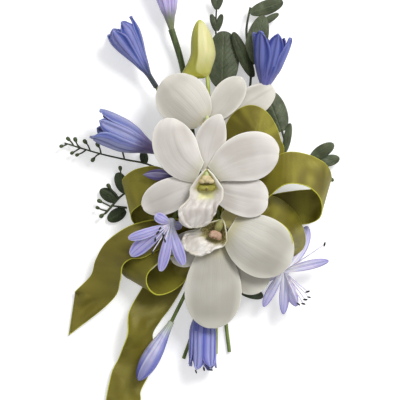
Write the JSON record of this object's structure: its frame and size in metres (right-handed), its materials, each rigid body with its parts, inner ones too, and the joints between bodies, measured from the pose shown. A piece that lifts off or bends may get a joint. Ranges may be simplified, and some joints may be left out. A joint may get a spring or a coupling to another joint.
{
  "type": "orchid corsage",
  "caption": "Spray of white orchid blooms, blue agapanthus florets and leaf sprigs bound with green tape and an olive satin bow, with a pearl-headed pin through the tape.",
  "frame": {"origin": "on the table that the corsage lies on, under the middle of its outline box", "axes": "+Z out of the flowers' faces, away from the flat back; +Y towards the top of the spray, along the pin; +X to the right seen from the front"},
  "size_m": [0.1286, 0.2112, 0.0358],
  "materials": {
    "petal_white": "matte, warm white, faintly veined",
    "lip_white": "matte white with a yellow-green throat",
    "column_green": "smooth, pale green and cream",
    "bud_green": "waxy yellow-green",
    "agapanthus_violet": "matte violet-blue with darker midribs",
    "stamen": "pale threads with dark anthers",
    "stem_green": "smooth green stem",
    "tape_green": "crepe floral tape, matte",
    "eucalyptus_leaf": "matte grey-green",
    "sprig_green": "matte dark green",
    "ribbon_olive": "olive satin with fine crosswise ribs",
    "pin_steel": "polished steel",
    "pearl": "pearl lacquer"
  },
  "bodies": {
    "spray": {"front_bloom_left_petal": "petal_white", "front_bloom_right_petal": "petal_white", "front_bloom_dorsal_sepal": "petal_white", "front_bloom_left_lateral_sepal": "petal_white", "front_bloom_right_lateral_sepal": "petal_white", "lower_bloom_right_petal": "petal_white", "lower_bloom_lower_sepal": "petal_white", "lower_bloom_dorsal_sepal": "petal_white", "lower_bloom_left_petal": "petal_white", "lower_bloom_right_lateral_sepal": "petal_white", "back_bloom_left_petal": "petal_white", "back_bloom_dorsal_sepal": "petal_white", "back_bloom_right_petal": "petal_white", "front_bloom_lip": "lip_white", "lower_bloom_lip": "lip_white", "front_bloom_column": "column_green", "lower_bloom_column": "column_green", "back_bloom_column": "column_green", "orchid_bud": "bud_green", "left_floret": "agapanthus_violet", "right_floret": "agapanthus_violet", "upper_left_bell": "agapanthus_violet", "top_bell": "agapanthus_violet", "left_bell": "agapanthus_violet", "right_bell": "agapanthus_violet", "bottom_bell": "agapanthus_violet", "lower_violet_bud": "agapanthus_violet", "small_violet_bud": "agapanthus_violet", "left_floret_stamens": "stamen", "right_floret_stamens": "stamen", "bottom_bell_stamens": "stamen", "front_bloom_stem": "stem_green", "back_bloom_stem": "stem_green", "lower_bloom_stem": "stem_green", "orchid_bud_stem": "stem_green", "upper_left_bell_stem": "stem_green", "top_bell_stem": "stem_green", "left_bell_stem": "stem_green", "small_violet_bud_stem": "stem_green", "left_floret_stem": "stem_green", "right_bell_stem": "stem_green", "right_floret_stem": "stem_green", "bottom_bell_stem": "stem_green", "lower_violet_bud_stem": "stem_green", "bundle_tape": "tape_green", "seed_twig": "eucalyptus_leaf", "top_eucalyptus": "eucalyptus_leaf", "right_eucalyptus": "eucalyptus_leaf", "lower_leaf_twig": "eucalyptus_leaf", "left_leafy_twig": "sprig_green", "bow_knot": "ribbon_olive", "bow_upper_right_loop": "ribbon_olive", "bow_right_loop": "ribbon_olive", "bow_lower_right_loop": "ribbon_olive", "bow_left_tail": "ribbon_olive", "bow_left_upper_loop": "ribbon_olive", "bow_left_lower_loop": "ribbon_olive", "bow_bottom_tail": "ribbon_olive"},
    "pin": {"pin_pearl": "pearl", "pin_shaft": "pin_steel"}
  },
  "joints": [
    {"name": "pin_slide", "type": "slide", "parent": "spray", "child": "pin", "axis": [0, -1, 0], "range_m": [0, 0.05]}
  ]
}
